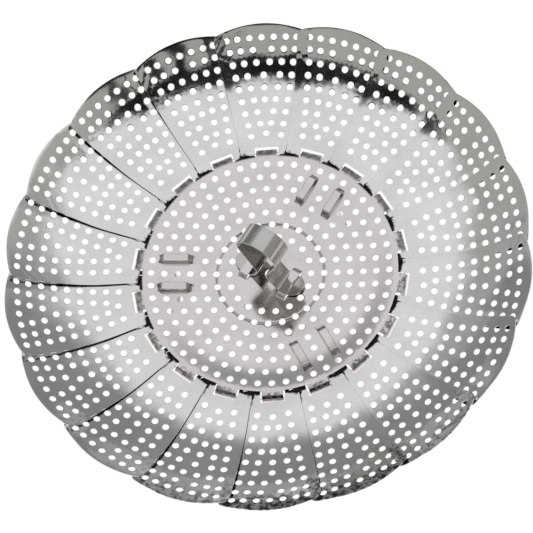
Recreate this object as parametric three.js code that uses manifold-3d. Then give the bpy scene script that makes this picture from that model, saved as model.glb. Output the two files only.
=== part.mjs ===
// Folding steamer basket: a dished, perforated base plate, a ring of overlapping petals that fold up,
// three legs that fold in under the plate, and a fixed looped handle. Millimetres, +Z up, feet on z = 0.
import * as THREE from 'three';
import { mergeVertices } from 'three/addons/utils/BufferGeometryUtils.js';
import Module from 'manifold-3d';

const wasm = await Module();
wasm.setup();

// Clearance kept between neighbouring pieces
const GAP = 0.3;

// Base plate
const BASE_RADIUS = 58.5;
const BASE_SHEET = 0.45;
const DISH_DEPTH = 4.1;
const BASE_AXIS_DEG = 42.6;
const BASE_SIDES = 36;
const BASE_BANDS = 4;

// Steam holes in the base plate, in rings that each gain the same number of holes
const FIRST_RING_RADIUS = 18.6;
const RING_PITCH = 5.92;
const FIRST_RING_HOLES = 18;
const HOLES_GAINED_PER_RING = 6;
const HOLE_DIAMETER = 3.0;
const RIM_MARGIN = 4;
const HOLE_FACETS = 1500;
const CENTRE_HOLE_DIAMETER = 4.8;

// Petals
const PETAL_COUNT = 18;
const PETAL_PHASE_DEG = 16.1;
const PETAL_SHEET = 0.45;
const PETAL_HALF_ANGLE_DEG = 11.3;
const PETAL_TWIST_DEG = 2.3;
const PETAL_FLAT_SLOPE_DEG = 4.6;
const PETAL_FLAT_LENGTH = 16.57;
const PETAL_BEND_RADIUS = 65;
const PETAL_BEND_DEG = 30;
const PETAL_TIP_LENGTH = 11.2;
const PETAL_TIP_ARC_RADIUS = 60;
const PETAL_TIP_CORNER = 3;
const PETAL_BEND_STEPS = 8;

// Ears of the petal's root, on both sides of its notch, which reach in under the plate's rim.
// The leading edge lies on the next petal and has its corner cut back.
const EAR_REACH = 4.2;
const RIM_TUCK = 0.94;
const LEADING_EAR_WIDTH = 1.9;
const LEADING_CORNER_IN = 0.2;
const LEADING_CORNER_OUT = 3.6;
const TRAILING_CORNER = 1.6;

// Petal hinge: a rim tongue dips through the notch at the petal's root and curls under a bar,
// which hangs between the petal's two ears. The bar is loose in the curl, so a petal yaws a little
// as it folds: the skew of its turning axis.
const TONGUE_WIDTH = 9.5;
const TONGUE_DIP_DEG = 19;
const NOTCH_SIDE_GAP = 0.7;
const ROOT_BAR_WIDTH = 0.7;
const BAR_HANGER = 0.5;
const BAR_PLAY = 0.2;
const HINGE_REACH = 2;
const HINGE_SKEW_DEG = 9.5;
const PETAL_FOLD_DEG = 70;
const HOOK_STEPS = 6;
const HOOK_LIP = 0.8;

// Legs and the raised bridges that hold their pins
const LEG_COUNT = 3;
const LEG_INSET = 15.5;
const LEG_DROP = 35;
const LEG_SHEET = 1;
const LEG_ARM_SPREAD = 14;
const LEG_ARM_WIDTH = 3.2;
const LEG_CRANK = 3;
const LEG_TOE = 4;
const LEG_FOOT_BAR = 6;
const PIN_RADIUS = 0.8;
const PIN_OVERHANG = 1;
const PIN_SIDES = 10;
const LEG_BRIDGE_LENGTH = 15.3;
const LEG_BRIDGE_FLAT = 9.5;
const LEG_BRIDGE_WIDTH = 4.5;
const BRIDGE_SLIT = 0.4;
const BRIDGE_ROOT = 1;

// Handle: one strip bent into a loop, with two feet tucked under a pair of bridges
const HANDLE_SHEET = 0.8;
const HANDLE_WIDTH = 10.4;
const HANDLE_HEIGHT = 40;
const HANDLE_LOOP_WIDTH = 20.4;
const HANDLE_NECK_WIDTH = 4.6;
const HANDLE_NECK_HEIGHT = 9.5;
const HANDLE_FOOT_BEND = 7;
const HANDLE_BRIDGE_OFFSET = 10.2;
const HANDLE_BRIDGE_WIDTH = 4.2;
const HANDLE_BRIDGE_RAMP = 1.6;
const HANDLE_LOOP_STEPS = 16;
const TONGUE_END_STEPS = 10;

// Stainless steel, with a slightly different tone on each kind of piece
const STEEL = { base: 0xc4c4c2, petal: 0xcfcecb, leg: 0xb5b5b4, handle: 0xa9a8a4 };

const radians = THREE.MathUtils.degToRad;

// Values that follow from the driving dimensions
const dishRadius = BASE_RADIUS ** 2 / (2 * DISH_DEPTH);
const ringCount = 1 + Math.floor((BASE_RADIUS - RIM_MARGIN - FIRST_RING_RADIUS) / RING_PITCH);
const legRadius = BASE_RADIUS - LEG_INSET;
const pinLength = LEG_BRIDGE_WIDTH + 2 * BRIDGE_SLIT + 2 * PIN_OVERHANG;
const pinSeatRadius = Math.hypot(legRadius, LEG_ARM_SPREAD / 2 + pinLength / 2);
const pinHeight = LEG_DROP;
const plateRise = (radius) => radius ** 2 / (2 * dishRadius);
const plateMiddleHeight = pinHeight - PIN_RADIUS - GAP - plateRise(pinSeatRadius);
const plateTop = (radius) => plateMiddleHeight + plateRise(radius);
const plateSlope = (radius) => Math.atan(radius / dishRadius);

const hingeRadius = BASE_RADIUS + HINGE_REACH;
const skewReach = (TONGUE_WIDTH / 2) * Math.sin(radians(HINGE_SKEW_DEG));
const skewLift = skewReach * Math.sin(radians(PETAL_FOLD_DEG));
const skewShift = skewReach * Math.cos(radians(HINGE_SKEW_DEG)) * (1 - Math.cos(radians(PETAL_FOLD_DEG)));
const hookInnerRadius = Math.hypot(ROOT_BAR_WIDTH / 2 + skewLift, PETAL_SHEET / 2 + skewShift) + BAR_PLAY;
const hookRadius = hookInnerRadius + BASE_SHEET / 2;
const hookOuterRadius = hookInnerRadius + BASE_SHEET;
const notchReach = hookOuterRadius + skewLift + GAP;
const notchHalf = TONGUE_WIDTH / 2 + NOTCH_SIDE_GAP;
const dip = radians(TONGUE_DIP_DEG);
const hingeDrop = (hookRadius + HINGE_REACH * Math.sin(dip)) / Math.cos(dip);
const hingeHeight = plateTop(BASE_RADIUS) - BASE_SHEET / 2 - hingeDrop;
const petalLift = plateTop(BASE_RADIUS) - BASE_SHEET - RIM_TUCK - hingeHeight;

const pinSeatRise = plateRise(pinSeatRadius) - plateRise(legRadius);
const legBridgeRise = 2 * PIN_RADIUS + 2 * GAP + pinSeatRise;
const handleBridgeRise = HANDLE_SHEET + 2 * GAP;
const handleBridgeFlat = HANDLE_WIDTH + 2 * GAP + 2 * BASE_SHEET;
const handleBridgeLength = handleBridgeFlat + 2 * HANDLE_BRIDGE_RAMP;

// Solids and booleans

function solidOf(geometry) {
  const bare = geometry.clone();
  bare.deleteAttribute('normal');
  bare.deleteAttribute('uv');
  const merged = mergeVertices(bare, 1e-4);
  const vertProperties = new Float32Array(merged.attributes.position.array);
  const triVerts = new Uint32Array(merged.index.array);
  return new wasm.Manifold(new wasm.Mesh({ numProp: 3, vertProperties, triVerts }));
}

function geometryOf(solid) {
  const mesh = solid.getMesh();
  const geometry = new THREE.BufferGeometry();
  geometry.setAttribute('position', new THREE.BufferAttribute(new Float32Array(mesh.vertProperties), 3));
  geometry.setIndex(new THREE.BufferAttribute(new Uint32Array(mesh.triVerts), 1));
  geometry.computeVertexNormals();
  return geometry;
}

function joined(solids) {
  return solids.reduce((whole, next) => whole.add(next));
}

// A box given by its centre and sizes
function box(sizeX, sizeY, sizeZ, x, y, z) {
  return new THREE.BoxGeometry(sizeX, sizeY, sizeZ).translate(x, y, z);
}

// An outline in X and Z, given a width along Y and centred on it
function ribbon(outline, width) {
  const shape = new THREE.Shape(outline);
  const geometry = new THREE.ExtrudeGeometry(shape, { depth: width, bevelEnabled: false });
  return geometry.translate(0, 0, -width / 2).rotateX(Math.PI / 2);
}

// An outline in X and Y, standing from one height to another
function prism(outline, bottom, top) {
  const shape = new THREE.Shape(outline);
  const geometry = new THREE.ExtrudeGeometry(shape, { depth: top - bottom, bevelEnabled: false });
  return geometry.translate(0, 0, bottom);
}

// The outline of a sheet of even thickness that follows a line of points
function sheetAlong(points, thickness) {
  const left = [];
  const right = [];
  points.forEach((point, index) => {
    const before = points[Math.max(index - 1, 0)];
    const after = points[Math.min(index + 1, points.length - 1)];
    const arriving = point.clone().sub(index > 0 ? before : point);
    const leaving = after.clone().sub(index < points.length - 1 ? point : after);
    const into = arriving.lengthSq() > 0 ? arriving.normalize() : leaving.clone().normalize();
    const out = leaving.lengthSq() > 0 ? leaving.normalize() : into;
    const mean = into.clone().add(out).normalize();
    const reach = thickness / 2 / mean.dot(into);
    const normal = new THREE.Vector2(-mean.y, mean.x).multiplyScalar(reach);
    left.push(point.clone().add(normal));
    right.unshift(point.clone().sub(normal));
  });
  return [...left, ...right];
}

function arcPoints(centreX, centreY, radius, startDeg, endDeg, steps) {
  return Array.from({ length: steps + 1 }, (_, step) => {
    const angle = radians(startDeg + ((endDeg - startDeg) * step) / steps);
    return new THREE.Vector2(centreX + radius * Math.cos(angle), centreY + radius * Math.sin(angle));
  });
}

// Base plate

// A raised bridge along X, with its sheet's top at rise + BASE_SHEET above the plate's top at z = 0
function bridge(length, flat, width, rise) {
  const line = [
    new THREE.Vector2(-length / 2, -BASE_SHEET / 2),
    new THREE.Vector2(-flat / 2, rise + BASE_SHEET / 2),
    new THREE.Vector2(flat / 2, rise + BASE_SHEET / 2),
    new THREE.Vector2(length / 2, -BASE_SHEET / 2),
  ];
  return {
    strip: ribbon(sheetAlong(line, BASE_SHEET), width),
    opening: box(length - 2 * BRIDGE_ROOT, width + 2 * BRIDGE_SLIT, 4 * BASE_SHEET, 0, 0, 0),
  };
}

// Where the bridges stand: across is the distance to the side of the line at angleDeg
function bridgePlaces() {
  const places = [];
  for (let leg = 0; leg < LEG_COUNT; leg += 1) {
    for (const side of [-1, 1]) {
      places.push({
        angleDeg: BASE_AXIS_DEG + (360 / LEG_COUNT) * leg,
        out: legRadius,
        across: (side * LEG_ARM_SPREAD) / 2,
        turnDeg: 0,
        length: LEG_BRIDGE_LENGTH,
        flat: LEG_BRIDGE_FLAT,
        width: LEG_BRIDGE_WIDTH,
        rise: legBridgeRise,
      });
    }
  }
  for (const side of [-90, 90]) {
    places.push({
      angleDeg: BASE_AXIS_DEG + side,
      out: HANDLE_BRIDGE_OFFSET,
      across: 0,
      turnDeg: 90,
      length: handleBridgeLength,
      flat: handleBridgeFlat,
      width: HANDLE_BRIDGE_WIDTH,
      rise: handleBridgeRise,
    });
  }
  return places;
}

// Sets a shape made about the origin on the plate at a place, square to the dished surface
function setOnPlate(geometry, place) {
  return geometry
    .rotateZ(radians(place.turnDeg))
    .rotateY(-plateSlope(place.out))
    .translate(place.out, place.across, plateTop(place.out))
    .rotateZ(radians(place.angleDeg));
}

// Whether a hole at a point would cut into a bridge or its opening
function holeMeetsBridge(radius, angleDeg, place) {
  const turn = radians(angleDeg - place.angleDeg);
  const along = radius * Math.cos(turn) - place.out;
  const aside = radius * Math.sin(turn) - place.across;
  const [lengthwise, crosswise] = place.turnDeg === 0 ? [along, aside] : [aside, along];
  const margin = HOLE_DIAMETER / 2 + BRIDGE_SLIT;
  return Math.abs(lengthwise) < place.length / 2 + margin && Math.abs(crosswise) < place.width / 2 + margin;
}

function steamHole(radius, angleDeg, sides) {
  const cutter = new THREE.CylinderGeometry(HOLE_DIAMETER / 2, HOLE_DIAMETER / 2, 4 * BASE_SHEET, sides)
    .rotateX(Math.PI / 2)
    .translate(radius, 0, plateTop(radius) - BASE_SHEET / 2)
    .rotateZ(radians(angleDeg));
  return solidOf(cutter);
}

function steamHolePlaces(bridges) {
  const places = [];
  for (let ring = 0; ring < ringCount; ring += 1) {
    const radius = FIRST_RING_RADIUS + ring * RING_PITCH;
    const count = FIRST_RING_HOLES + ring * HOLES_GAINED_PER_RING;
    for (let hole = 0; hole < count; hole += 1) {
      const angleDeg = BASE_AXIS_DEG + (360 / count) * hole;
      if (bridges.some((bridge) => holeMeetsBridge(radius, angleDeg, bridge))) continue;
      places.push({ radius, angleDeg });
    }
  }
  return places;
}

// The steam holes, which share a fixed number of facets
function steamHoles(bridges) {
  const places = steamHolePlaces(bridges);
  const sides = Math.floor(HOLE_FACETS / places.length);
  return joined(places.map(({ radius, angleDeg }) => steamHole(radius, angleDeg, sides)));
}

// The dished disc, with the one hole in its middle, under the handle
function dishedPlate() {
  const outerRadii = Array.from({ length: BASE_BANDS }, (_, band) => (BASE_RADIUS * (band + 1)) / BASE_BANDS);
  const radii = [CENTRE_HOLE_DIAMETER / 2, ...outerRadii];
  const top = radii.map((radius) => new THREE.Vector2(radius, plateTop(radius)));
  const bottom = radii.map((radius) => new THREE.Vector2(radius, plateTop(radius) - BASE_SHEET));
  const profile = [...bottom, ...top.reverse(), bottom[0]];
  const lathe = new THREE.LatheGeometry(profile, BASE_SIDES);
  return lathe.rotateX(Math.PI / 2).rotateZ(radians(PETAL_PHASE_DEG));
}

// One rim tongue, dipped at the rim and curled back under, in the plane of X and Z
function rimTongue() {
  const inner = BASE_RADIUS - HINGE_REACH;
  const curl = arcPoints(hingeRadius, hingeHeight, hookRadius, 90 - TONGUE_DIP_DEG, -90, HOOK_STEPS);
  const line = [
    new THREE.Vector2(inner, plateTop(inner) - BASE_SHEET / 2),
    new THREE.Vector2(BASE_RADIUS, plateTop(BASE_RADIUS) - BASE_SHEET / 2),
    ...curl,
    new THREE.Vector2(hingeRadius - HOOK_LIP, hingeHeight - hookRadius),
  ];
  return ribbon(sheetAlong(line, BASE_SHEET), TONGUE_WIDTH);
}

function basePlate() {
  const places = bridgePlaces();
  let plate = solidOf(dishedPlate());
  for (const place of places) {
    const { strip, opening } = bridge(place.length, place.flat, place.width, place.rise);
    plate = plate.subtract(solidOf(setOnPlate(opening, place)));
    plate = plate.add(solidOf(setOnPlate(strip, place)));
  }
  plate = plate.subtract(steamHoles(places));
  for (let petal = 0; petal < PETAL_COUNT; petal += 1) {
    plate = plate.add(solidOf(rimTongue().rotateZ(petalAngle(petal))));
  }
  return geometryOf(plate);
}

// Petals

function petalAngle(petal) {
  return radians(PETAL_PHASE_DEG + (360 / PETAL_COUNT) * petal);
}

// The petal's section from root to tip, with its turning point at the origin
function petalLine() {
  const points = [];
  const pen = new THREE.Vector2(0, petalLift);
  const heading = (deg) => new THREE.Vector2(Math.cos(radians(deg)), Math.sin(radians(deg)));
  const walk = (deg, length) => {
    pen.addScaledVector(heading(deg), length);
    points.push(pen.clone());
  };
  points.push(pen.clone().addScaledVector(heading(PETAL_FLAT_SLOPE_DEG), -2 * EAR_REACH));
  walk(PETAL_FLAT_SLOPE_DEG, PETAL_FLAT_LENGTH);
  const stepDeg = PETAL_BEND_DEG / PETAL_BEND_STEPS;
  for (let step = 0; step < PETAL_BEND_STEPS; step += 1) {
    walk(PETAL_FLAT_SLOPE_DEG + stepDeg * (step + 0.5), PETAL_BEND_RADIUS * radians(stepDeg));
  }
  walk(PETAL_FLAT_SLOPE_DEG + PETAL_BEND_DEG, PETAL_TIP_LENGTH);
  return points;
}

// The petal seen from above, about its turning point: radial sides, an arched tip and, at the root,
// an ear on each side of the notch. Its trailing side is at -Y and its leading side at +Y.
function petalOutline(tip) {
  const spread = Math.tan(radians(PETAL_HALF_ANGLE_DEG));
  const halfWidth = (x) => (hingeRadius + x) * spread;
  const arcCentre = tip - PETAL_TIP_ARC_RADIUS;
  const tipAt = (y) => arcCentre + Math.sqrt(PETAL_TIP_ARC_RADIUS ** 2 - y ** 2);
  const corner = halfWidth(tipAt(halfWidth(tip)));
  const arcHalfDeg = THREE.MathUtils.radToDeg(Math.asin((corner - PETAL_TIP_CORNER) / PETAL_TIP_ARC_RADIUS));
  const tipArc = arcPoints(arcCentre, 0, PETAL_TIP_ARC_RADIUS, -arcHalfDeg, arcHalfDeg, PETAL_BEND_STEPS);
  const cornerX = tipAt(corner) - PETAL_TIP_CORNER;
  const leadingEar = notchHalf + LEADING_EAR_WIDTH;
  const trailingSide = TRAILING_CORNER - EAR_REACH;
  return [
    new THREE.Vector2(notchReach, notchHalf),
    new THREE.Vector2(notchReach, -notchHalf),
    new THREE.Vector2(-EAR_REACH, -notchHalf),
    new THREE.Vector2(-EAR_REACH, TRAILING_CORNER - halfWidth(-EAR_REACH)),
    new THREE.Vector2(trailingSide, -halfWidth(trailingSide)),
    new THREE.Vector2(cornerX, -halfWidth(cornerX)),
    ...tipArc,
    new THREE.Vector2(cornerX, halfWidth(cornerX)),
    new THREE.Vector2(LEADING_CORNER_OUT, halfWidth(LEADING_CORNER_OUT)),
    new THREE.Vector2(LEADING_CORNER_IN, leadingEar),
    new THREE.Vector2(-EAR_REACH, leadingEar),
    new THREE.Vector2(-EAR_REACH, notchHalf),
  ];
}

function petal() {
  const line = petalLine();
  const tip = line[line.length - 1];
  const widest = 2 * (hingeRadius + tip.x);
  const sheet = solidOf(ribbon(sheetAlong(line, PETAL_SHEET), widest));
  const outline = solidOf(prism(petalOutline(tip.x), -tip.y, 2 * tip.y));
  const leaf = sheet.intersect(outline).rotate([PETAL_TWIST_DEG, 0, 0]);
  return geometryOf(joined([leaf, ...rootBar()]));
}

// The bar on the turning axis and the two hangers that carry it from the petal's twisted ears
function rootBar() {
  const side = notchHalf + BAR_HANGER / 2;
  const bottom = -PETAL_SHEET / 2;
  const bar = box(ROOT_BAR_WIDTH, 2 * (notchHalf + BAR_HANGER), PETAL_SHEET, 0, 0, 0);
  const hangers = [-side, side].map((y) => {
    const top = petalLift + y * Math.tan(radians(PETAL_TWIST_DEG));
    return box(ROOT_BAR_WIDTH, BAR_HANGER, top - bottom, 0, y, (top + bottom) / 2);
  });
  return [bar, ...hangers].map(solidOf);
}

// Legs

// One leg about its pin axis, which runs along Y: cranked arms, a foot bar and a toe turned outward
function leg() {
  const sole = -LEG_DROP + LEG_SHEET / 2;
  const line = [
    new THREE.Vector2(0, 0),
    new THREE.Vector2(LEG_CRANK, 0),
    new THREE.Vector2(LEG_CRANK, sole),
    new THREE.Vector2(LEG_CRANK + LEG_TOE, sole),
  ];
  const strip = solidOf(ribbon(sheetAlong(line, LEG_SHEET), LEG_ARM_SPREAD + LEG_ARM_WIDTH));
  const windowWidth = LEG_ARM_SPREAD - LEG_ARM_WIDTH;
  const windowHeight = LEG_DROP - LEG_FOOT_BAR;
  const windowReach = 2 * (LEG_CRANK + LEG_SHEET);
  const opening = box(windowReach, windowWidth, 2 * windowHeight, LEG_CRANK, 0, 0);
  const pins = [-1, 1].map((side) => {
    const pin = new THREE.CylinderGeometry(PIN_RADIUS, PIN_RADIUS, pinLength, PIN_SIDES);
    return solidOf(pin.translate(0, (side * LEG_ARM_SPREAD) / 2, 0));
  });
  return geometryOf(joined([strip.subtract(solidOf(opening)), ...pins]));
}

// Handle

// Half of the strip's line, from the end of a foot over the neck to the top of the loop
function handleHalfLine() {
  const bearing = GAP + HANDLE_SHEET / 2;
  const footEnd = HANDLE_BRIDGE_OFFSET + HANDLE_BRIDGE_WIDTH / 2 + HANDLE_WIDTH / 2;
  const loopRadius = (HANDLE_LOOP_WIDTH - HANDLE_SHEET) / 2;
  const loopHeight = HANDLE_HEIGHT - HANDLE_LOOP_WIDTH / 2;
  const neck = new THREE.Vector2((HANDLE_NECK_WIDTH - HANDLE_SHEET) / 2, HANDLE_NECK_HEIGHT);
  const toNeck = new THREE.Vector2(neck.x, neck.y - loopHeight);
  const neckDeg = THREE.MathUtils.radToDeg(toNeck.angle()) - 360;
  const tangentDeg = neckDeg + THREE.MathUtils.radToDeg(Math.acos(loopRadius / toNeck.length()));
  return [
    new THREE.Vector2(footEnd, plateRise(footEnd) + bearing),
    new THREE.Vector2(HANDLE_FOOT_BEND, plateRise(HANDLE_FOOT_BEND) + bearing),
    neck,
    ...arcPoints(0, loopHeight, loopRadius, tangentDeg, 90, HANDLE_LOOP_STEPS),
  ];
}

function handle() {
  const half = handleHalfLine();
  const otherHalf = half.slice(0, -1).reverse().map((point) => new THREE.Vector2(-point.x, point.y));
  const strip = solidOf(ribbon(sheetAlong([...half, ...otherHalf], HANDLE_SHEET), HANDLE_WIDTH));
  const footStart = HANDLE_BRIDGE_OFFSET + HANDLE_BRIDGE_WIDTH / 2;
  const roundEnds = [
    ...arcPoints(footStart, 0, HANDLE_WIDTH / 2, -90, 90, TONGUE_END_STEPS),
    ...arcPoints(-footStart, 0, HANDLE_WIDTH / 2, 90, 270, TONGUE_END_STEPS),
  ];
  const plan = solidOf(prism(roundEnds, -HANDLE_HEIGHT, 2 * HANDLE_HEIGHT));
  return geometryOf(strip.intersect(plan));
}

// Assembly

function piece(name, geometry, colour) {
  const material = new THREE.MeshStandardMaterial({ color: colour, roughness: 0.25, metalness: 1 });
  const mesh = new THREE.Mesh(geometry, material);
  mesh.name = name;
  return mesh;
}

const basket = new THREE.Group();
basket.add(piece('base_plate', basePlate(), STEEL.base));

for (let index = 0; index < PETAL_COUNT; index += 1) {
  const number = String(index + 1).padStart(2, '0');
  const mesh = piece(`petal_${number}`, petal(), STEEL.petal);
  mesh.position.set(hingeRadius, 0, hingeHeight);
  const spoke = new THREE.Group();
  spoke.rotation.z = petalAngle(index);
  spoke.add(mesh);
  basket.add(spoke);
}

for (let index = 0; index < LEG_COUNT; index += 1) {
  const mesh = piece(`leg_${index + 1}`, leg(), STEEL.leg);
  mesh.position.set(legRadius, 0, pinHeight);
  const spoke = new THREE.Group();
  spoke.rotation.z = radians(BASE_AXIS_DEG + (360 / LEG_COUNT) * index);
  spoke.add(mesh);
  basket.add(spoke);
}

const liftingHandle = piece('lifting_handle', handle(), STEEL.handle);
liftingHandle.position.z = plateMiddleHeight;
liftingHandle.rotation.z = radians(BASE_AXIS_DEG - 90);
basket.add(liftingHandle);

export default basket;
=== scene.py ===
import math

import bpy
from mathutils import Matrix, Vector
from mathutils.geometry import delaunay_2d_cdt


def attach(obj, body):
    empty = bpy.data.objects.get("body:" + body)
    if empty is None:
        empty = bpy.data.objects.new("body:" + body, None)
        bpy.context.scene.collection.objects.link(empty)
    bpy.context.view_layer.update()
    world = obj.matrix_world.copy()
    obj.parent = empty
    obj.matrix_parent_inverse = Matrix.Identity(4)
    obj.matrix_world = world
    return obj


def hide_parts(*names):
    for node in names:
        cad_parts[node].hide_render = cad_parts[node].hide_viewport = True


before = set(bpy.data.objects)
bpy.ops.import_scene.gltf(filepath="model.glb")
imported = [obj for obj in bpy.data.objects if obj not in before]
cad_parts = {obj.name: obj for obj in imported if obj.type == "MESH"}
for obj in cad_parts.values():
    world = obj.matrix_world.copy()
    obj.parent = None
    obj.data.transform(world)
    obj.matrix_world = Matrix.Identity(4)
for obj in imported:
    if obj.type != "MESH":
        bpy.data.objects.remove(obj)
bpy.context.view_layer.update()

# Height of a row in a triangular grid of unit pitch
ROW_RATIO = 0.866

# All sizes below are in millimetres and degrees, as in the CAD; meshes are scaled to metres when made
MM = 0.001
# A hair's breadth, for slopes and for points on a boundary
NEAR = 0.01
# The largest turn of one facet of a bend
BEND_STEP = 2

# Base plate
BASE_RADIUS = 58.5
RIM_RADIUS = 58.0
SHEET = 0.45
SHEET_EDGE = 0.07
DISH_RADIUS = 417.348
PLATE_MIDDLE = 31.549
BASE_AXIS = 42.6
GROOVE_RADIUS = 24.4
GROOVE_DEPTH = 0.42
GROOVE_WIDTH = 0.45
CENTRE_HOLE_RADIUS = 2.4
TROUGH_DEPTH = 0.7
TROUGH_REACH = (34.0, 46.5, 58.0)
RIM_ROLL = 0.3
RIM_ROLL_REACH = 0.9
RIM_STEPS = 9
# Reach about the rim's radius in which the plate's cut edge is painted dark, as painted shade under the rim
RIM_EDGE_REACH = 0.1
RIM_RINGS = (0.8, 0.5, 0.25)
RIM_RING_POINTS = 360
RIM_ROOM = 1.2
PLATE_PITCH = 2.6
PLATE_GRID_ROOM = 0.5
GROOVE_RINGS = 6
GROOVE_RING_PITCH = 0.19
GROOVE_RING_POINTS = 260

# Steam holes of the plate
HOLE_RADIUS = 1.5
HOLE_ROOM = 0.5
HOLE_RING_ROOM = 0.05
HOLE_RING_POINTS = 12
PLATE_HOLE_STEPS = 24
PETAL_HOLE_STEPS = 20
CENTRE_HOLE_STEPS = 36
FIRST_RING = 18.6
RING_PITCH = 5.92
RING_COUNT = 7
FIRST_COUNT = 18
COUNT_GAIN = 6

# Bridges that hold the legs' pins and the handle's feet
LEG_BRIDGE = {"length": 15.8, "flat": 10.2, "width": 3.2, "lift": 2.85}
HANDLE_BRIDGE = {"length": 16.4, "flat": 11.9, "width": 4.2, "lift": 1.85}
BRIDGE_SLIT = 0.26
BRIDGE_ROOM = 0.6
BRIDGE_WALL = 0.45
BRIDGE_CLEAR = 1.15
# Painted shade on the ramps at the ends of the leg bridges
BRIDGE_END_PAINTED_SHADE = 0.4
BRIDGE_ROWS = 34
BRIDGE_LINES = (-0.6, 0, 0.6)
BRIDGE_WALL_LINES = (-0.1, 0.15, 0.35, 0.5, 0.65, 0.85, 1.1)
BRIDGE_END_ROOM = 0.02
BRIDGE_GRID_ROOM = 0.3
BRIDGE_SLIT_STEP = 0.5
LEG_RADIUS = 43.0
LEG_SPREAD = 14.0
HANDLE_BRIDGE_OFFSET = 10.2

# Petals and their hinges
PETAL_COUNT = 18
PETAL_PHASE = 16.1
PETAL_SPREAD = 11.3
PETAL_TWIST = 2.3
PETAL_SLOPE = 4.6
PETAL_FLAT = 16.57
PETAL_BEND_RADIUS = 65.0
PETAL_BEND = 30.0
PETAL_TIP = 11.2
TIP_ARC_RADIUS = 60.0
TIP_CORNER = 3.0
HINGE_RADIUS = 60.5
HINGE_HEIGHT = 32.899
PETAL_LIFT = 1.36
NOTCH_REACH = 2.55
NOTCH_HALF = 5.58
EAR_REACH = 4.2
TUCK_REACH = 4.6
TUCK_HALF = 12.9
TUCK_CORNER = (-3.9, -13.6)
TUCK_FLARE = 1.5
TUCK_END = 6.0
EAR_HALF = (7.2, 7.4)
NOTCH_CORNER = 0.5
EAR_CORNER = 0.4
FLARE_CORNER = 1.0
TIP_ARC_SHARE = 0.85
TIP_ARC_STEPS = 24
PETAL_OUTLINE_STEP = 1.6
TONGUE_WIDTH = 9.5
TONGUE_DIP = 24.4
TONGUE_BEND = 8.0
TONGUE_START = BASE_RADIUS - 2
TONGUE_STEP = 0.35
TONGUE_GRID_ROOM = 0.1
TONGUE_LINES = (-0.36, -0.12, 0.12, 0.36)
TONGUE_TIP_LINES = (-0.85, -0.4, 0, 0.4, 0.85)
HOOK_RADIUS = 1.475
HOOK_LIP = 0.8
# Painted shade on the tongues, from just inside the rim round their curl under the petals' roots: where it
# starts, is full, fades and ends
TONGUE_PAINTED_SHADE = 0.4
TONGUE_PAINTED_SHADE_REACH = (57.8, 58.8, 61.4, 63.2)
ROOT_BAR_WIDTH = 0.5
ROOT_BAR_SHEET = 0.4
ROOT_BAR_EDGE = 0.06
ROOT_BAR_BEND = 0.5
ROOT_BAR_STEP = 0.25
HANGER_SETBACK = 0.25

# Forming of the petals: a dish across the outer half, trailing root corners pressed down under the next
# petal, dents near the leading tip corner, a tip edge turned down, a slight sag of the flat part and the
# slight waves of thin sheet. Each wave has its turns along, across and by petal
DISH_START = 12.0
DISH_END = 42.0
LEADING_DISH_RADIUS = 120.0
TRAILING_DISH_RADIUS = 110.0
TRAILING_DISH_REACH = 12.0
ROOT_DIP = 1.5
ROOT_DIP_REACH = (4.5, -0.5)
ROOT_DIP_SIDE = (9.0, 10.6)
ROOT_GAP = 1.5
DENT = 0.05
DENT_REACH = 9.0
DENT_FULL = 0.4 * DENT_REACH
DENT_START = (36, 48)
DENT_WAVES = ((1.3, 0.5, 1), (-0.3, 1.1, 2))
TIP_ROLL = 0.07
SAG = 0.26
SAG_REACH = (2.0, 32.0)
TIP_ROLL_REACH = 1.3
WAVE = 0.03
WAVE_START = (4, 16)
LONG_WAVES = ((0.21, 0, 1), (0, 0.17, 1.7))
SHORT_WAVES = ((0.5, (0.55, 0.3, 2)), (0.4, (-0.37, 0.42, 3)))
PHASE_STEP = 2.4
HOLE_ROLL = 0.1

# Painted shade in the crevice at a petal's root, and painted dark reflections on the tips of the petals on
# one side of the basket
ROOT_PAINTED_SHADE = (-1.0, 0.9)
ROOT_PAINTED_SHADE_FADE = 0.9
ROOT_EDGE_REACH = 0.5
ROOT_PAINTED_SHADE_SIDE = (8.0, 8.8)
TIP_PAINTED_REFLECTION = 0.62
TIP_PAINTED_REFLECTION_REACH = (44.0, 59.0)
TIP_PAINTED_REFLECTION_SIDE = -95.0
TIP_PAINTED_REFLECTION_SPREAD = 45.0
CORNER_PAINTED_REFLECTION = 0.8
CORNER_PAINTED_REFLECTION_REACH = (38, 48)

# Rows of holes in a petal: the distance along the sheet and the places to each side
PETAL_ROWS = (
    (8.6, (0, 6.9)),
    (14.2, (2.5, 8.15)),
    (20.1, (3.75, 9.4)),
    (25.9, (0, 5.05, 10.7)),
    (31.7, (0, 6.3, 11.85)),
    (37.5, (0, 7.55, 13.05)),
    (43.4, (3.1, 8.8, 14.1)),
    (49.4, (4.4, 10.1, 15.2)),
    (55.0, (0, 5.7, 11.35, 16.3)),
)
ROW_BOW = 0.8
ROW_MIDDLE = 0.5
FIRST_ROW_SHIFT = 0.5

# Mesh points inside a petal: an even grid, finer towards the tip and at the root, and rows along the tip
PETAL_GRID_START = -3.6
PETAL_REACH = 24.0
PETAL_PITCH = 2.2
TIP_GRID_START = 36.8
TIP_GRID_GAP = 0.8
TIP_PITCH = 1.4
ROOT_GRIDS = (((-4.1, -14), (6, -6.1), 0.9), ((-3.8, 6.1), (0.4, 6.7), 0.6))
TIP_ROWS = (0.287, 0.574, 0.861)
TIP_ROW_STEPS = 14
TIP_ROW_PITCH = 1.5
TIP_GRID_ROOM = 0.25
SIDE_GRID_ROOM = 0.6
NOTCH_GRID_ROOM = 0.5
EAR_GRID_LIMIT = 6.8
TUCK_GRID_START = -1.0
TUCK_GRID_LIMIT = 11.4

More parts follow.
